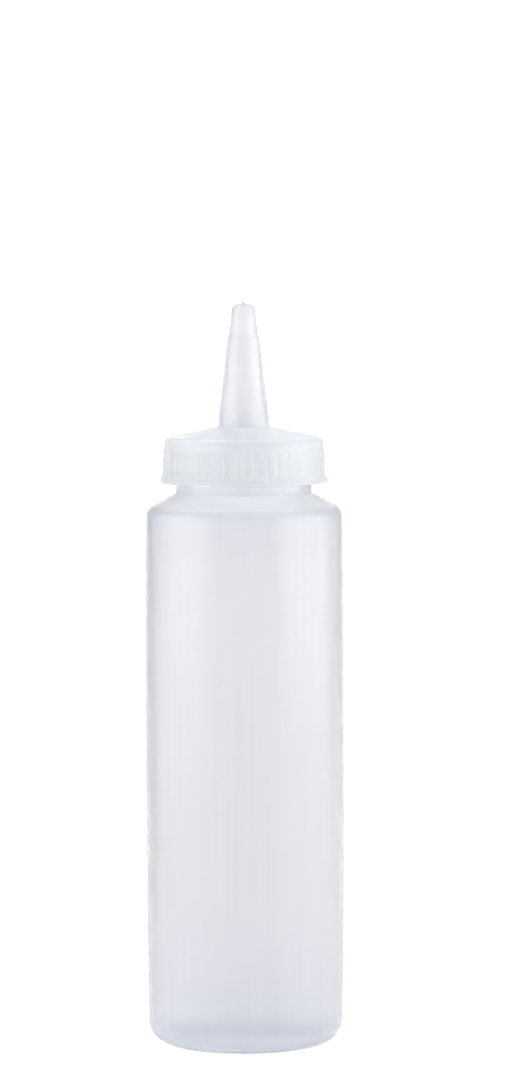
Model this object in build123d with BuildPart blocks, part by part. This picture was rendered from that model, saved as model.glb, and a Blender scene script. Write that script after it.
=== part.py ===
from build123d import *
import os
from math import cos, radians, sin, tan

os.makedirs("parts", exist_ok=True)

# A squeeze bottle for condiments, closed by a screw cap with a tall conical nozzle.
# All sizes are in millimetres. The axis is Z, and the bottle stands on the plane Z = 0.

# Bottle body: slightly barrelled, with a true cylinder round its middle
body_radius_foot = 24.98
body_radius_middle = 25.40
body_radius_top = 25.06
band_bottom = 62.0
band_top = 88.0
body_top = 136.0
body_wall = 1.0
heel_radius = 5.7
shoulder_radius = 3.2
shoulder_angle = 27.5

# Base: a flat ring to stand on round a shallow push-up, with the mould's pinch-off seam across it
push_up_radius = 18.0
push_up_depth = 2.2
seam_length = 26.0
seam_width = 0.8
seam_height = 0.5
seam_sink = 0.3

# Neck: a 38-400 screw finish
neck_radius = 17.35
neck_wall = 1.8
neck_fillet = 0.8
rim_height = 153.6
rim_fillet = 0.4

# Screw thread, six turns to the inch, right-handed
pitch = 25.4 / 6
thread_sink = 0.3
neck_thread_radius = 18.6
neck_thread_root = 2.3
neck_thread_crest = 0.9
neck_thread_start = 146.2
neck_thread_turns = 1.37
cap_thread_radius = 17.65
cap_thread_root = 1.9
cap_thread_crest = 0.8
cap_thread_start = 146.0
cap_thread_turns = 1.45
thread_drop = 1.45

# Sealing washer, held under the cap's ceiling
washer_inner = 15.1
washer_outer = 18.3
washer_thickness = 1.0
washer_fillet = 0.15

# Cap: skirt with flat grip ribs above a flared lip
skirt_bottom = 144.7
skirt_bore = 18.9
skirt_lead_in = 0.3
skirt_radius_low = 20.68
skirt_radius_high = 20.30
lip_radius = 21.52
lip_crest = 145.5
lip_top = 147.0
rib_count = 45
rib_width = 1.44
rib_start = 2
rib_height = 0.26
rib_sink = 0.4
rib_top = 153.4
rib_run_out = 0.35

# Cap: shallow conical top
dome_edge = 156.0
dome_edge_fillet = 1.2
dome_top = 158.9
dome_wall = 1.35
plug_inner = 14.2
plug_outer = 15.0
plug_depth = 2.2

# Cap: nozzle, closed by a tip that is cut off at the step
nozzle_radius_base = 6.67
nozzle_radius_step = 3.94
nozzle_wall = 1.05
step_height = 182.1
tip_radius_base = 3.68
tip_radius_end = 2.80
tip_corner = 190.15
tip_fillet = 1.8
tip_crown = 190.42
tip_wall = 1.9
channel_radius_end = 2.0
gate_radius = 0.3
gate_top = 190.85


def bottle_half(inset, neck):
    """Half section of the bottle's form, drawn inset inside its outer skin and up to its rim."""
    slope = radians(shoulder_angle)
    foot = body_radius_foot - heel_radius
    bend_radius = shoulder_radius - inset
    bend_top = body_top + bend_radius * cos(slope)
    bend_reach = body_radius_top - shoulder_radius + bend_radius * sin(slope)
    neck_bottom = bend_top + (bend_reach - neck) * tan(slope)
    crown = (0, push_up_depth + inset)
    with BuildSketch(Plane.XZ) as half:
        with BuildLine():
            TangentArc(crown, (push_up_radius, inset), tangent=(1, 0))
            Line((push_up_radius, inset), (foot, inset))
            heel = JernArc((foot, inset), (1, 0), heel_radius - inset, 90)
            low_band = (body_radius_middle - inset, band_bottom)
            high_band = (body_radius_middle - inset, band_top)
            TangentArc(low_band, heel @ 1, tangent=(0, -1))
            Line(low_band, high_band)
            wall = TangentArc(high_band, (body_radius_top - inset, body_top), tangent=(0, 1))
            bend = JernArc(wall @ 1, (0, 1), bend_radius, 90 - shoulder_angle)
            Polyline(bend @ 1, (neck, neck_bottom), (neck, rim_height), (0, rim_height), crown)
        make_face()
    return half.sketch


def thread_ridge(root_radius, crest_radius, root_width, crest_width, turns):
    """A helical ridge that starts on the X axis at Z = 0 and climbs anticlockwise."""
    corners = (
        (root_radius, -root_width / 2),
        (crest_radius, -crest_width / 2),
        (crest_radius, crest_width / 2),
        (root_radius, root_width / 2),
    )
    with BuildPart() as ridge:
        with BuildLine() as helix:
            Helix(pitch, turns * pitch, root_radius)
        with BuildSketch(Plane.XZ):
            with BuildLine():
                Polyline(*corners, close=True)
            make_face()
        sweep(path=helix.line, is_frenet=True)
    return ridge.part


neck_ridge = thread_ridge(
    neck_radius - thread_sink, neck_thread_radius, neck_thread_root, neck_thread_crest, neck_thread_turns
)
cap_ridge = thread_ridge(
    skirt_bore + thread_sink, cap_thread_radius, cap_thread_root, cap_thread_crest, cap_thread_turns
)
# The cap's ridge lies on the same helix as the neck's, thread_drop lower, so the two never cross.
cap_thread_angle = (cap_thread_start - neck_thread_start + thread_drop) / pitch * 360


# Bottle: body, shoulder, neck and thread blown as one hollow piece.
# The seam's ridge runs out into the push-up at both ends.
seam_end = seam_length / 2
seam_level = push_up_depth * (1 - (seam_end / push_up_radius) ** 2)

with BuildPart() as bottle:
    revolve(bottle_half(0, neck_radius), axis=Axis.Z)
    neck_foot = bottle.edges().filter_by(GeomType.CIRCLE).group_by(Axis.Z)[-2]
    fillet(neck_foot, neck_fillet)
    revolve(bottle_half(body_wall, neck_radius - neck_wall), axis=Axis.Z, mode=Mode.SUBTRACT)
    rim = bottle.edges().filter_by(GeomType.CIRCLE).group_by(Axis.Z)[-1]
    fillet(rim, rim_fillet)
    with Locations((0, 0, neck_thread_start)):
        add(neck_ridge)
    with BuildSketch(Plane.XZ):
        with BuildLine():
            ridge = ThreePointArc(
                (-seam_end, seam_level), (0, push_up_depth - seam_height), (seam_end, seam_level)
            )
            bed = ThreePointArc(
                (-seam_end, seam_level + seam_sink),
                (0, push_up_depth + seam_sink),
                (seam_end, seam_level + seam_sink),
            )
            Line(ridge @ 0, bed @ 0)
            Line(ridge @ 1, bed @ 1)
        make_face()
    extrude(amount=seam_width / 2, both=True)
bottle.part.label = "bottle"


# Sealing washer: a flat ring between the neck's rim and the cap's ceiling
with BuildPart() as sealing_washer:
    with BuildSketch(Plane.XY.offset(rim_height)):
        Circle(washer_outer)
        Circle(washer_inner, mode=Mode.SUBTRACT)
    extrude(amount=washer_thickness)
    fillet(sealing_washer.edges(), washer_fillet)
sealing_washer.part.label = "sealing_washer"


# Cap: skirt, conical top and nozzle moulded as one piece
ceiling = rim_height + washer_thickness
dome_slope = (dome_top - dome_edge) / (skirt_radius_high - nozzle_radius_base)
dome_inside = dome_top - dome_wall
nozzle_slope = (nozzle_radius_base - nozzle_radius_step) / (step_height - dome_top)
channel_base = nozzle_radius_base - nozzle_wall
channel_step = nozzle_radius_step - nozzle_wall
dome_at_plug = dome_inside - (plug_inner - channel_base) * dome_slope

# Each corner of the cap's half section, with the radius that rounds it
cap_corners = (
    ((skirt_bore + skirt_lead_in, skirt_bottom), 0),
    ((lip_radius, skirt_bottom), 0.35),
    ((lip_radius, lip_crest), 0.3),
    ((skirt_radius_low, lip_top), 0.3),
    ((skirt_radius_high, dome_edge), dome_edge_fillet),
    ((nozzle_radius_base, dome_top), 0.4),
    ((nozzle_radius_step, step_height), 0.12),
    ((tip_radius_base, step_height), 0),
    ((tip_radius_end, tip_corner), tip_fillet),
    ((gate_radius, tip_crown), 0),
    ((gate_radius, gate_top), 0),
    ((0, gate_top), 0),
    ((0, tip_crown - tip_wall), 0),
    ((channel_radius_end, tip_crown - tip_wall), 0.8),
    ((channel_step, step_height), 0),
    ((channel_base, dome_inside), 0.8),
    ((plug_inner, dome_at_plug), 0.5),
    ((plug_inner, ceiling - plug_depth), 0.2),
    ((plug_outer, ceiling - plug_depth), 0.2),
    ((plug_outer, ceiling), 0),
    ((skirt_bore, ceiling), 0),
    ((skirt_bore, lip_crest), 0),
)
# Each grip rib in the radial plane, following the skirt's taper
rib_foot = lip_top - 0.3
rib_corners = (
    (skirt_radius_high - rib_sink, rib_foot),
    (skirt_radius_low + rib_height, rib_foot),
    (skirt_radius_high + rib_height, rib_top - rib_run_out),
    (skirt_radius_high, rib_top),
    (skirt_radius_high - rib_sink, rib_top),
)

with BuildPart() as rib:
    with BuildSketch(Plane.XZ):
        with BuildLine():
            Polyline(*rib_corners, close=True)
        make_face()
    extrude(amount=rib_width / 2, both=True)

with BuildPart() as nozzle_cap:
    with BuildSketch(Plane.XZ):
        with BuildLine():
            FilletPolyline(*[p for p, r in cap_corners], radius=[r for p, r in cap_corners], close=True)
        make_face()
    revolve(axis=Axis.Z)
    with PolarLocations(0, rib_count, start_angle=rib_start):
        add(rib.part)
    with Locations(Location((0, 0, cap_thread_start), (0, 0, cap_thread_angle))):
        add(cap_ridge)
nozzle_cap.part.label = "nozzle_cap"


export_step(bottle.part, "parts/bottle.step")
export_step(sealing_washer.part, "parts/sealing_washer.step")
export_step(nozzle_cap.part, "parts/nozzle_cap.step")
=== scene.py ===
import bpy
from math import atan2, ceil, cos, exp, pi, radians, sin, sqrt, tan
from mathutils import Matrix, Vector, noise


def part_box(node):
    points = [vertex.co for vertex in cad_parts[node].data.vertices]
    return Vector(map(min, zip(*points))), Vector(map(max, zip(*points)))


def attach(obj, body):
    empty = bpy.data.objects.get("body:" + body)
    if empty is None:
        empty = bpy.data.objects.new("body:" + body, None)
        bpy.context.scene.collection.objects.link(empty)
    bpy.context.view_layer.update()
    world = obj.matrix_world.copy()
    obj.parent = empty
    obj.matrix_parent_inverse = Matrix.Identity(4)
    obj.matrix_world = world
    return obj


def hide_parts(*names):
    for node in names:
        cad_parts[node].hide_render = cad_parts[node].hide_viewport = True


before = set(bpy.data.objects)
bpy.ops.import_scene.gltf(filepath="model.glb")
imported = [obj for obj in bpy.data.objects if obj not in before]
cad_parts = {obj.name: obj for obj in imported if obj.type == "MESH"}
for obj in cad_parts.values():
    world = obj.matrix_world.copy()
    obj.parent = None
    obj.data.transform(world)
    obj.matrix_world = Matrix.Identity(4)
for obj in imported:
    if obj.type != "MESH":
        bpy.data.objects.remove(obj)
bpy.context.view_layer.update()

MM = 0.001

# ---------------------------------------------------------------------------------------------
# Sizes, in millimetres. Heights and radii that the frame holds are read from it.
# ---------------------------------------------------------------------------------------------
bottle_low, bottle_high = (Vector(corner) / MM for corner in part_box("bottle"))
washer_low, washer_high = (Vector(corner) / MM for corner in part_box("sealing_washer"))
cap_low, cap_high = (Vector(corner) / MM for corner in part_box("nozzle_cap"))

BODY_RADIUS = bottle_high.x
RIM = bottle_high.z
CEILING = washer_high.z
SKIRT_BOTTOM = cap_low.z
TIP = cap_high.z

# Bottle
BODY_RADIUS_FOOT = BODY_RADIUS - 0.42
BODY_RADIUS_TOP = BODY_RADIUS - 0.34
BAND_BOTTOM = 62.0
BAND_TOP = 88.0
BODY_TOP = 136.0
BODY_WALL = 1.0
HEEL = 5.7
SHOULDER_BEND = 3.2
SHOULDER_ANGLE = 27.5
NECK_RADIUS = 17.35
NECK_WALL = 1.8
NECK_FILLET = 0.8
PUSH_UP_RADIUS = 18.0
PUSH_UP_DEPTH = 2.2
SEAM_LENGTH = 26.0
SEAM_WIDTH = 0.8
SEAM_HEIGHT = 0.5

# Screw thread, six turns to the inch, as heights and widths of a ridge that climbs round the neck
PITCH = 25.4 / 6
NECK_THREAD = {"start": RIM - 7.4, "turns": 1.37, "height": 1.25, "root": 2.3, "crest": 0.9, "phase": 0.0}
CAP_THREAD = {"start": RIM - 7.6, "turns": 1.45, "height": 1.25, "root": 1.9, "crest": 0.8}
THREAD_DROP = 1.45
CAP_THREAD["phase"] = (CAP_THREAD["start"] - NECK_THREAD["start"] + THREAD_DROP) / PITCH * 2 * pi

# Cap
LIP_RADIUS = cap_high.x
LIP_CREST = SKIRT_BOTTOM + 0.8
LIP_TOP = SKIRT_BOTTOM + 2.3
SKIRT_BORE = 18.9
SKIRT_LOW = LIP_RADIUS - 0.84
SKIRT_HIGH = LIP_RADIUS - 1.22
RIB_COUNT = 45
RIB_PITCH = 2 * pi / RIB_COUNT
RIB_START = RIB_PITCH / 4
RIB_HALF = 0.72
RIB_HEIGHT = 0.15
RIB_TOP = SKIRT_BOTTOM + 8.7
DOME_EDGE = SKIRT_BOTTOM + 11.3
DOME_TOP = SKIRT_BOTTOM + 14.2
DOME_WALL = 1.35
PLUG_INNER = 14.2
PLUG_OUTER = 15.0
PLUG_DEPTH = 2.2
NOZZLE_BASE = 6.67
NOZZLE_STEP = 3.94
NOZZLE_WALL = 1.05
STEP = TIP - 8.75
TIP_BASE = 3.68
TIP_END = 2.80
TIP_CORNER = TIP - 0.70
TIP_CROWN = TIP - 0.43
TIP_WALL = 1.9
GATE_RADIUS = 0.3

# Fine relief of the blown and moulded skins. THREAD_RUN_OUT is in radians, RIB_EDGE a share of RIB_HALF.
PARTING_HEIGHT = 0.05
PARTING_WIDTH = 0.22
SEAM_EDGE = 0.4
SWAY_HEIGHT = 0.05
BROAD_STREAK = 0.16
FINE_STREAK = 0.035
THREAD_RUN_OUT = 0.5
RIB_EDGE = 0.3
RIB_RUN_OUT = 0.4


# ---------------------------------------------------------------------------------------------
# Outlines: half sections of the round pieces, as (radius, height) points
# ---------------------------------------------------------------------------------------------
def arc(centre, radius, start, end, steps=10):
    """Points on an arc from one angle to another, in degrees, round (radius, height) centre."""
    turns = [radians(start + (end - start) * k / steps) for k in range(steps + 1)]
    return [Vector((centre[0] + radius * cos(a), centre[1] + radius * sin(a))) for a in turns]


def barrel_radius(height):
    """Radius of the body's skin: a true cylinder round the middle, bowed in above and below it."""
    if height < BAND_BOTTOM:
        share = (BAND_BOTTOM - height) / (BAND_BOTTOM - HEEL)
        return BODY_RADIUS - (BODY_RADIUS - BODY_RADIUS_FOOT) * share**2
    if height > BAND_TOP:
        share = (height - BAND_TOP) / (BODY_TOP - BAND_TOP)
        return BODY_RADIUS - (BODY_RADIUS - BODY_RADIUS_TOP) * share**2
    return BODY_RADIUS


def barrel(inset, steps=60):
    """The body's wall from the heel to the shoulder."""
    heights = [HEEL + (BODY_TOP - HEEL) * k / steps for k in range(steps + 1)]
    return [Vector((barrel_radius(h) - inset, h)) for h in heights]


def rounded(corners, steps=6):
    """An outline's corners, each (radius, height, rounding), with every rounding drawn as an arc."""
    points = []
    for i, (x, y, rounding) in enumerate(corners):
        here = Vector((x, y))
        if not rounding:
            points.append(here)
            continue
        back = (Vector(corners[i - 1][:2]) - here).normalized()
        on = (Vector(corners[i + 1][:2]) - here).normalized()
        half = back.angle(on) / 2
        centre = here + (back + on).normalized() * rounding / sin(half)
        first = here + back * rounding / tan(half) - centre
        last = here + on * rounding / tan(half) - centre
        begin = atan2(first.y, first.x)
        swing = (atan2(last.y, last.x) - begin + pi) % (2 * pi) - pi
        for k in range(steps + 1):
            a = begin + swing * k / steps
            points.append(centre + rounding * Vector((cos(a), sin(a))))
    return points


def divided(points, longest):
    """The same outline with every run split so that none is longer than longest(height)."""
    finer = [points[0]]
    for a, b in zip(points, points[1:]):
        parts = max(1, ceil((b - a).length / longest((a.y + b.y) / 2)))
        finer += [a.lerp(b, k / parts) for k in range(1, parts + 1)]
    return finer


# ---------------------------------------------------------------------------------------------
# Relief: how far a surface stands off its plain round form, in millimetres
# ---------------------------------------------------------------------------------------------
def smooth(x):
    """0 below 0, 1 above 1, and an S-shaped rise between."""
    x = min(max(x, 0.0), 1.0)
    return x * x * (3 - 2 * x)


def thread_relief(angle, height, thread):
    """Height of a helical ridge above its root, with ends that run out."""
    length = thread["turns"] * 2 * pi
    most = 0.0
    for turn in range(3):
        along = (angle - thread["phase"]) % (2 * pi) + 2 * pi * turn
        if along > length:
            break
        away = abs(height - thread["start"] - PITCH * along / (2 * pi))
        flank = (thread["root"] - thread["crest"]) / 2
        rise = smooth((thread["root"] / 2 - away) / flank)
        run_out = smooth(along / THREAD_RUN_OUT) * smooth((length - along) / THREAD_RUN_OUT)
        most = max(most, thread["height"] * rise * run_out)
    return most


def parting_relief(angle):
    """The fine raised line where the halves of the mould meet, on both sides of the bottle."""
    away = abs((angle + pi / 2) % pi - pi / 2) * BODY_RADIUS
    return PARTING_HEIGHT * exp(-((away / PARTING_WIDTH) ** 2))


def pinch_off_relief(angle, radius):
    """The seam across the base, where the mould pinched the blown tube shut."""
    across = abs(radius * sin(angle)) - SEAM_WIDTH / 2
    along = radius * cos(angle) / (SEAM_LENGTH / 2)
    return SEAM_HEIGHT * smooth(0.5 - across / SEAM_EDGE) * max(0, 1 - along**2)


def bottle_skin_relief(angle, point):
    """The seam under the base, the thread on the neck, and between them parting lines and a faint sway."""
    foot_ring = 0.3
    if point.y < PUSH_UP_DEPTH + 0.01 and point.x < PUSH_UP_RADIUS:
        return 0.0, -pinch_off_relief(angle, point.x)
    if point.y < foot_ring:
        return 0.0, 0.0
    if point.y > BODY_TOP + 7:
        on_neck = point.x > NECK_RADIUS - 0.1
        return thread_relief(angle, point.y, NECK_THREAD) if on_neck else 0.0, 0.0
    place = Vector((cos(angle), sin(angle), point.y / 55))
    sway = SWAY_HEIGHT * noise.noise(place * 1.6) * smooth(point.y / 12)
    line = parting_relief(angle) * smooth((point.y - foot_ring) / 3)
    return sway * smooth((BODY_TOP + 4 - point.y) / 10) + line, 0.0


def bottle_bore_relief(angle, point):
    """Streaks in the wall's thickness, drawn out along the bottle as it was blown."""
    if point.x < 5 or point.y > BODY_TOP + 6:
        return 0.0, 0.0
    around = Vector((cos(angle) * 3.2, sin(angle) * 3.2, point.y / 90))
    fine = Vector((cos(angle) * 16, sin(angle) * 16, point.y / 60))
    return BROAD_STREAK * noise.noise(around) + FINE_STREAK * noise.noise(fine), 0.0


def cap_skin_relief(angle, point):
    """The grip ribs, with rounded tops; away is 0 at a rib's middle and 1 at its edge."""
    rib_foot = LIP_TOP - 0.6
    if not rib_foot < point.y < RIB_TOP + 0.01:
        return 0.0, 0.0
    aside = (angle - RIB_START + RIB_PITCH / 2) % RIB_PITCH - RIB_PITCH / 2
    away = abs(aside) * SKIRT_LOW / RIB_HALF
    rise = smooth((1 + RIB_EDGE / 2 - away) / RIB_EDGE)
    rounded_top = RIB_TOP - RIB_HALF * (1 - sqrt(max(0.0, 1 - away**2)))
    ends = smooth((rounded_top - point.y) / RIB_RUN_OUT) * smooth((point.y - rib_foot) / RIB_RUN_OUT)
    return RIB_HEIGHT * rise * ends, 0.0


def cap_bore_relief(angle, point):
    """The cap's own thread, which stands inward from the skirt's bore."""
    if point.x < SKIRT_BORE - 0.05 or not SKIRT_BOTTOM < point.y < CEILING - 0.1:
        return 0.0, 0.0
    return -thread_relief(angle, point.y, CAP_THREAD), 0.0


# ---------------------------------------------------------------------------------------------
# Meshes
# ---------------------------------------------------------------------------------------------
def lathe(name, angles, surfaces, sharp=40):
    """A closed round shell. surfaces are (outline, relief) pairs that follow one another from the axis
    to the axis again, up the outside and down the inside, which turns every face outward;
    relief(angle, point) shifts a point outward and upward."""
    rows, verts, faces = [], [], []
    for outline, relief in surfaces:
        for point in outline:
            if rows and (point - rows[-1][0]).length < 1e-4:
                continue
            rows.append((point, relief))
    index = []
    for point, relief in rows:
        if point.x < 1e-6:
            index.append([len(verts)])
            verts.append((0.0, 0.0, point.y * MM))
            continue
        index.append(list(range(len(verts), len(verts) + len(angles))))
        for a in angles:
            outward, upward = relief(a, point)
            r = (point.x + outward) * MM
            verts.append((r * cos(a), r * sin(a), (point.y + upward) * MM))
    for low, high in zip(index, index[1:]):
        for k in range(len(angles)):
            n = (k + 1) % len(angles)
            if len(low) == 1:
                faces.append((low[0], high[n], high[k]))
            elif len(high) == 1:
                faces.append((low[k], low[n], high[0]))
            else:
                faces.append((low[k], low[n], high[n], high[k]))
    mesh = bpy.data.meshes.new(name)
    mesh.from_pydata(verts, [], faces)
    mesh.validate()
    mesh.shade_smooth()
    mesh.set_sharp_from_angle(angle=radians(sharp))
    piece = bpy.data.objects.new(name, mesh)
    bpy.context.scene.collection.objects.link(piece)
    return piece


def bowed_base(inset, steps=48):
    """The push-up under the bottle, from the axis to the ring that the bottle stands on."""
    shares = [k / steps for k in range(steps + 1)]
    return [Vector((PUSH_UP_RADIUS * u, inset + PUSH_UP_DEPTH * (1 - u * u))) for u in shares]


def bottle_outline(inset, neck):
    """The bottle's form from the axis at its base to the foot of its neck, inset inside the outer skin."""
    heel = arc((BODY_RADIUS_FOOT - HEEL, HEEL), HEEL - inset, -90, 0, 14)
    bend_centre = (BODY_RADIUS_TOP - SHOULDER_BEND, BODY_TOP)
    bend = arc(bend_centre, SHOULDER_BEND - inset, 0, 90 - SHOULDER_ANGLE, 12)
    neck_foot = bend[-1].y + (bend[-1].x - neck) * tan(radians(SHOULDER_ANGLE))
    return bowed_base(inset) + heel + barrel(inset) + bend, neck_foot


def make_bottle():
    """Skin and bore in one shell, with fine rows for the thread and close columns at the parting lines."""
    bore_radius = NECK_RADIUS - NECK_WALL
    skin, neck_foot = bottle_outline(0, NECK_RADIUS)
    bore, bore_foot = bottle_outline(BODY_WALL, bore_radius)
    neck = rounded(
        [
            (skin[-1].x, skin[-1].y, 0),
            (NECK_RADIUS, neck_foot, NECK_FILLET),
            (NECK_RADIUS, RIM, 0.4),
            (bore_radius, RIM, 0.4),
            (bore_radius, bore_foot, 0.6),
            (bore[-1].x, bore[-1].y, 0),
        ]
    )
    turn = next(i for i, p in enumerate(neck) if p.x < bore_radius + 0.01)
    skin = divided(skin + neck[:turn], lambda h: 0.2 if h > SKIRT_BOTTOM - 0.5 else 2.0)
    bore = divided(neck[turn:] + bore[::-1], lambda h: 2.5)
    columns = 288
    even = [2 * pi * k / columns for k in range(columns)]
    across_line = (-0.016, -0.01, -0.005, 0.0, 0.005, 0.01, 0.016)
    lines = [side + shift for side in (0, pi) for shift in across_line]
    around = sorted(set(round(a % (2 * pi), 5) for a in even + lines))
    return lathe("squeeze_bottle", around, [(skin, bottle_skin_relief), (bore, bottle_bore_relief)])


def make_cap():
    """Bore and skin in one shell, with rows and columns that follow the threads and the ribs."""
    slope = (DOME_TOP - DOME_EDGE) / (SKIRT_HIGH - NOZZLE_BASE)
    inside = DOME_TOP - DOME_WALL
    channel = NOZZLE_BASE - NOZZLE_WALL
    channel_step = NOZZLE_STEP - NOZZLE_WALL
    skin = rounded(
        [
            (SKIRT_BORE + 0.3, SKIRT_BOTTOM, 0),
            (LIP_RADIUS, SKIRT_BOTTOM, 0.35),
            (LIP_RADIUS, LIP_CREST, 0.3),
            (SKIRT_LOW, LIP_TOP, 0.3),
            (SKIRT_HIGH, DOME_EDGE, 1.2),
            (NOZZLE_BASE, DOME_TOP, 0.4),
            (NOZZLE_STEP, STEP, 0.12),
            (TIP_BASE, STEP, 0.1),
            (TIP_END, TIP_CORNER, 1.8),
            (GATE_RADIUS, TIP_CROWN, 0.1),
            (GATE_RADIUS, TIP, 0.08),
            (0, TIP, 0),
        ]
    )
    bore = rounded(
        [
            (0, TIP_CROWN - TIP_WALL, 0),
            (channel_step - 0.9, TIP_CROWN - TIP_WALL, 0.8),
            (channel_step, STEP, 0),
            (channel, inside, 0.8),
            (PLUG_INNER, inside - (PLUG_INNER - channel) * slope, 0.5),
            (PLUG_INNER, CEILING - PLUG_DEPTH, 0.2),
            (PLUG_OUTER, CEILING - PLUG_DEPTH, 0.2),
            (PLUG_OUTER, CEILING, 0.1),
            (SKIRT_BORE, CEILING, 0.15),
            (SKIRT_BORE, LIP_CREST, 0),
            (SKIRT_BORE + 0.3, SKIRT_BOTTOM, 0),
        ]
    )
    skin = divided(skin, lambda h: 0.25 if RIB_TOP - 0.7 < h < RIB_TOP + 0.1 else 1.0)
    bore = divided(bore, lambda h: 0.22 if h < CEILING else 2.0)
    shares = (-0.5, -0.38, -0.29, -0.25, -0.21, -0.12, 0.0, 0.12, 0.21, 0.25, 0.29, 0.38)
    around = [RIB_START + RIB_PITCH * (rib + share) for rib in range(RIB_COUNT) for share in shares]
    return lathe("nozzle_screw_cap", around, [(bore, cap_bore_relief), (skin, cap_skin_relief)])


# ---------------------------------------------------------------------------------------------
# Materials
# ---------------------------------------------------------------------------------------------
def new_material(name):
    """A fresh material, with its nodes, its links and its shader."""
    material = bpy.data.materials.new(name)
    material.use_nodes = True
    nodes = material.node_tree.nodes
    return material, nodes, material.node_tree.links, nodes["Principled BSDF"]


def object_place(nodes):
    """A point's place on the piece itself, in metres."""
    return nodes.new("ShaderNodeTexCoord").outputs["Object"]


def axis_of(nodes, links, vector, axis):
    """One part of a vector: X, Y or Z."""
    split = nodes.new("ShaderNodeSeparateXYZ")
    links.new(vector, split.inputs["Vector"])
    return split.outputs[axis]


def calculate(nodes, links, operation, source, amount=None):
    """A Math node on source and, if given, on amount, which is a number or another output."""
    node = nodes.new("ShaderNodeMath")
    node.operation = operation
    links.new(source, node.inputs[0])
    if isinstance(amount, float):
        node.inputs[1].default_value = amount
    elif amount:
        links.new(amount, node.inputs[1])
    return node.outputs["Value"]


def ramp(nodes, links, source, stops, blend="LINEAR"):
    """A colour for every value of source; stops are (position, colour)."""
    node = nodes.new("ShaderNodeValToRGB")
    node.color_ramp.interpolation = blend
    elements = node.color_ramp.elements
    while len(elements) < len(stops):
        elements.new(1)
    for element, (position, colour) in zip(elements, stops):
        element.position = position
        element.color = (*colour, 1)
    links.new(source, node.inputs["Fac"])
    return node.outputs["Color"]


def times(nodes, links, first, second):
    """One colour multiplied by another."""
    node = nodes.new("ShaderNodeMix")
    node.data_type = "RGBA"
    node.blend_type = "MULTIPLY"
    node.inputs["Factor"].default_value = 1.0
    links.new(first, node.inputs["A"])
    links.new(second, node.inputs["B"])
    return node.outputs["Result"]


def noise_value(nodes, links, place, scale, detail, stretch=(1, 1, 1)):
    """Noise between 0 and 1; a stretch below 1 draws it out along that axis."""
    mapping = nodes.new("ShaderNodeMapping")
    mapping.inputs["Scale"].default_value = stretch
    links.new(place, mapping.inputs["Vector"])
    texture = nodes.new("ShaderNodeTexNoise")
    texture.inputs["Scale"].default_value = scale
    texture.inputs["Detail"].default_value = detail
    links.new(mapping.outputs["Vector"], texture.inputs["Vector"])
    return texture.outputs["Fac"]


def specks(nodes, links, place):
    """White all over but for a few dark grains moulded into the plastic."""
    cells_per_metre, share_of_cells, grain_in_cell = 70, 0.15, 0.022
    cells = nodes.new("ShaderNodeTexVoronoi")
    cells.inputs["Scale"].default_value = cells_per_metre
    links.new(place, cells.inputs["Vector"])
    chance = axis_of(nodes, links, cells.outputs["Color"], "X")
    chosen = calculate(nodes, links, "LESS_THAN", chance, share_of_cells)
    near = calculate(nodes, links, "LESS_THAN", cells.outputs["Distance"], grain_in_cell)
    grain = calculate(nodes, links, "MULTIPLY", chosen, near)
    return ramp(nodes, links, grain, [(0, (1, 1, 1)), (1, (0.62, 0.60, 0.58))])


def natural_plastic(name, top, stops, streak, clearness, roughness):
    """Milky polyethylene with a faintly pebbled satin skin. stops give its colour by height, part colour
    and part painted shade:
    darker towards the foot, partly as the wall gets thicker and denser there and partly painted shade;
    streak is how far that varies around the piece."""
    material, nodes, links, shader = new_material(name)
    place = object_place(nodes)
    share = calculate(nodes, links, "DIVIDE", axis_of(nodes, links, place, "Z"), top * MM)
    # Colour by height, which also holds painted shade
    colour_and_shade_by_height = ramp(nodes, links, share, [(height / top, colour) for height, colour in stops], "EASE")
    streaks = noise_value(nodes, links, place, 650, 3, (1, 1, 0.02))
    light, dark = (1, 1, 1), (1 - streak, 1 - streak, 1 - streak * 0.8)
    shade = ramp(nodes, links, streaks, [(0.35, dark), (0.65, light)])
    colour = times(nodes, links, times(nodes, links, colour_and_shade_by_height, shade), specks(nodes, links, place))
    links.new(colour, shader.inputs["Base Color"])
    bump = nodes.new("ShaderNodeBump")
    bump.inputs["Strength"].default_value = 0.07
    bump.inputs["Distance"].default_value = 0.0002
    links.new(noise_value(nodes, links, place, 900, 2), bump.inputs["Height"])
    links.new(bump.outputs["Normal"], shader.inputs["Normal"])
    shader.inputs["Transmission Weight"].default_value = clearness
    shader.inputs["Roughness"].default_value = roughness
    shader.inputs["IOR"].default_value = 1.51
    shader.inputs["Subsurface Weight"].default_value = 1.0
    shader.inputs["Subsurface Radius"].default_value = (1.0, 1.0, 1.1)
    shader.inputs["Subsurface Scale"].default_value = 0.003
    return material


def washer_foam():
    """Soft off-white foam that lets most of the light through."""
    material, nodes, links, shader = new_material("closure_foam")
    cells = nodes.new("ShaderNodeTexVoronoi")
    cells.inputs["Scale"].default_value = 2500
    links.new(object_place(nodes), cells.inputs["Vector"])
    shades = [(0, (0.91, 0.92, 0.93)), (0.6, (0.95, 0.96, 0.97))]
    links.new(ramp(nodes, links, cells.outputs["Distance"], shades), shader.inputs["Base Color"])
    shader.inputs["Roughness"].default_value = 0.6
    shader.inputs["IOR"].default_value = 1.2
    shader.inputs["Transmission Weight"].default_value = 0.6
    return material
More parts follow.
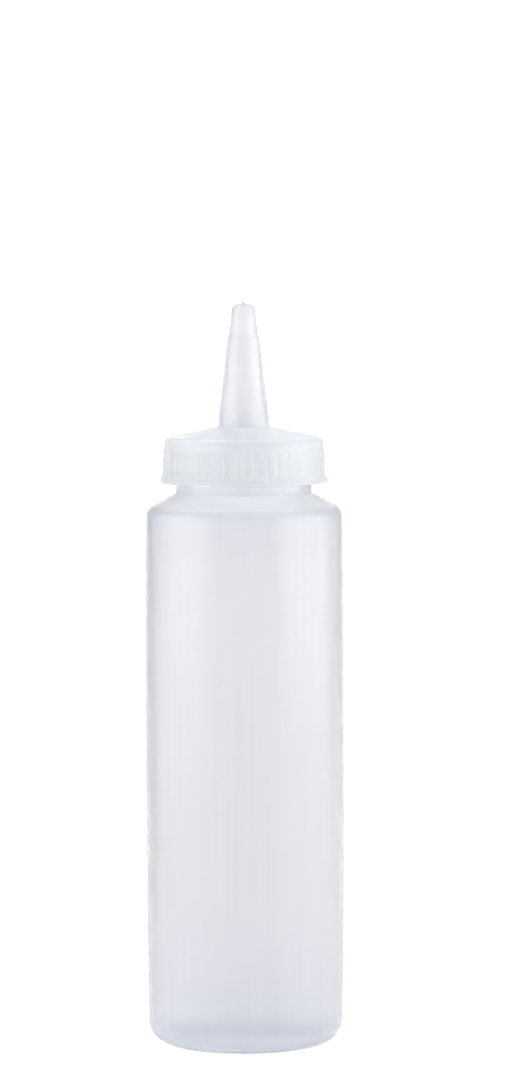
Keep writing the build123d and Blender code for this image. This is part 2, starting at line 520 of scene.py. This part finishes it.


# ---------------------------------------------------------------------------------------------
# The object
# ---------------------------------------------------------------------------------------------
# Bottle colour by height in millimetres, part colour and part painted shade. The dark stop at 0 mm is a
# painted shadow along the foot's edge where it meets the floor. The dip at 6.4 mm is a painted dark line
# at the top of the heel. The darkening from 125 mm down to the foot is partly the thicker wall and partly
# painted shade.
BOTTLE_COLOURS_AND_SHADE = [
    (0, (0.450, 0.500, 0.600)),
    (1.4, (0.760, 0.785, 0.838)),
    (4.2, (0.860, 0.865, 0.900)),
    (6.4, (0.825, 0.838, 0.880)),
    (10, (0.870, 0.869, 0.899)),
    (40, (0.888, 0.883, 0.906)),
    (125, (0.919, 0.913, 0.934)),
    (136, (0.902, 0.909, 0.937)),
    (146, (0.892, 0.904, 0.934)),
]
# Cap colour by height in millimetres. The dip around 156.2 mm is a painted shade band at the dome's edge.
CAP_COLOURS_AND_SHADE = [
    (145, (0.962, 0.974, 0.999)),
    (152.5, (0.964, 0.975, 0.999)),
    (154.4, (0.940, 0.952, 0.990)),
    (156.2, (0.890, 0.898, 0.942)),
    (158.5, (0.935, 0.940, 0.976)),
    (166, (0.988, 0.988, 0.999)),
    (190, (0.980, 0.982, 0.998)),
]

bottle = make_bottle()
bottle.data.materials.append(natural_plastic("natural_bottle", RIM, BOTTLE_COLOURS_AND_SHADE, 0.025, 0.8, 0.2))
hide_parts("bottle")
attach(bottle, "bottle")

cap = make_cap()
cap.data.materials.append(natural_plastic("natural_cap", TIP, CAP_COLOURS_AND_SHADE, 0.015, 0.52, 0.22))
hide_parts("nozzle_cap")
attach(cap, "cap")

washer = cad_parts["sealing_washer"]
washer.data.materials.clear()
washer.data.materials.append(washer_foam())

# Plastic this clear casts next to no shadow
for piece in (bottle, cap, washer):
    piece.visible_shadow = False

# ---------------------------------------------------------------------------------------------
# Studio: a pale sweep, soft boxes at both sides and above, a wash on the backdrop. In metres and watts.
# ---------------------------------------------------------------------------------------------
FLOOR_HALF = 1.8
FLOOR_FRONT = -3.0
SWEEP_START = 1.2
SWEEP_RADIUS = 0.8
WALL_HEIGHT = 2.6
WORLD_COLOUR = (0.84, 0.92, 1.0)
WORLD_STRENGTH = 0.33
PAPER_GLOW = 0.7
SIDE_GLOW = 0.46
GLOW_HALF = 0.45
GLOW_FADE = 0.3
TOP_POWER = 3.4
WASH_POWER = 8.0
LEFT_POWER = 4.7
RIGHT_POWER = 6.6


def make_sweep():
    """Floor, curved sweep and back wall in one sheet that glows, less so towards its sides."""
    steps = 16
    side = [(FLOOR_FRONT, 0.0), (SWEEP_START, 0.0)]
    for k in range(1, steps + 1):
        a = pi / 2 * k / steps
        side.append((SWEEP_START + SWEEP_RADIUS * sin(a), SWEEP_RADIUS * (1 - cos(a))))
    side.append((SWEEP_START + SWEEP_RADIUS, WALL_HEIGHT))
    verts = [(x, y, z) for y, z in side for x in (-FLOOR_HALF, FLOOR_HALF)]
    faces = [(2 * k, 2 * k + 1, 2 * k + 3, 2 * k + 2) for k in range(len(side) - 1)]
    mesh = bpy.data.meshes.new("studio_sweep")
    mesh.from_pydata(verts, [], faces)
    mesh.shade_smooth()
    sweep = bpy.data.objects.new("studio_sweep", mesh)
    bpy.context.scene.collection.objects.link(sweep)
    material, nodes, links, shader = new_material("studio_paper")
    shader.inputs["Base Color"].default_value = (0.45, 0.45, 0.45, 1)
    shader.inputs["Roughness"].default_value = 0.9
    shader.inputs["Specular IOR Level"].default_value = 0.1
    shader.inputs["Emission Color"].default_value = (1, 1, 1, 1)
    fade = nodes.new("ShaderNodeMapRange")
    fade.interpolation_type = "SMOOTHSTEP"
    fade.inputs["From Min"].default_value = GLOW_HALF
    fade.inputs["From Max"].default_value = GLOW_HALF + GLOW_FADE
    fade.inputs["To Min"].default_value = PAPER_GLOW
    fade.inputs["To Max"].default_value = SIDE_GLOW
    aside = calculate(nodes, links, "ABSOLUTE", axis_of(nodes, links, object_place(nodes), "X"))
    links.new(aside, fade.inputs["Value"])
    links.new(fade.outputs["Result"], shader.inputs["Emission Strength"])
    mesh.materials.append(material)


def soft_box(name, place, facing, width, height, power):
    """A rectangular lamp that lights the object and isn't seen itself."""
    light = bpy.data.lights.new(name, "AREA")
    light.shape = "RECTANGLE"
    light.size, light.size_y = width, height
    light.energy = power
    lamp = bpy.data.objects.new(name, light)
    lamp.location = place
    lamp.rotation_euler = Vector(facing).to_track_quat("-Z", "Y").to_euler()
    lamp.visible_camera = False
    bpy.context.scene.collection.objects.link(lamp)


make_sweep()
world = bpy.data.worlds.new("studio")
bpy.context.scene.world = world
world.use_nodes = True
world.node_tree.nodes["Background"].inputs["Color"].default_value = (*WORLD_COLOUR, 1)
world.node_tree.nodes["Background"].inputs["Strength"].default_value = WORLD_STRENGTH
soft_box("left_panel", (-0.9, -0.45, 0.3), (1, 0, 0), 1.2, 1.2, LEFT_POWER)
soft_box("right_panel", (0.9, -0.38, 0.3), (-1, 0, 0), 1.4, 1.2, RIGHT_POWER)
soft_box("top_panel", (0, 0.1, 1.1), (0, 0, -1), 1.4, 1.4, TOP_POWER)
soft_box("backdrop_wash", (0, 0.6, 1.6), (0, 1, -1), 2.0, 0.5, WASH_POWER)

# ---------------------------------------------------------------------------------------------
# Camera. FIELD_SLOPE is the height of the field of view as a share of its distance.
# ---------------------------------------------------------------------------------------------
CAMERA_DISTANCE = 1.150
CAMERA_HEIGHT = 0.211
LOOK_DOWN = radians(4.04)
LOOK_RIGHT = radians(0.134)
ROLL = radians(0.2)
SENSOR = 36.0
FIELD_SLOPE = 1080 / 4487

camera_data = bpy.data.cameras.new("camera")
camera_data.sensor_fit = "VERTICAL"
camera_data.sensor_height = SENSOR
camera_data.lens = SENSOR / FIELD_SLOPE
camera_data.clip_start = 0.01
camera = bpy.data.objects.new("camera", camera_data)
camera.location = (0, -CAMERA_DISTANCE, CAMERA_HEIGHT)
camera.rotation_euler = (pi / 2 - LOOK_DOWN, ROLL, -LOOK_RIGHT)
bpy.context.scene.collection.objects.link(camera)
bpy.context.scene.camera = camera
bpy.context.scene.view_settings.view_transform = "Standard"
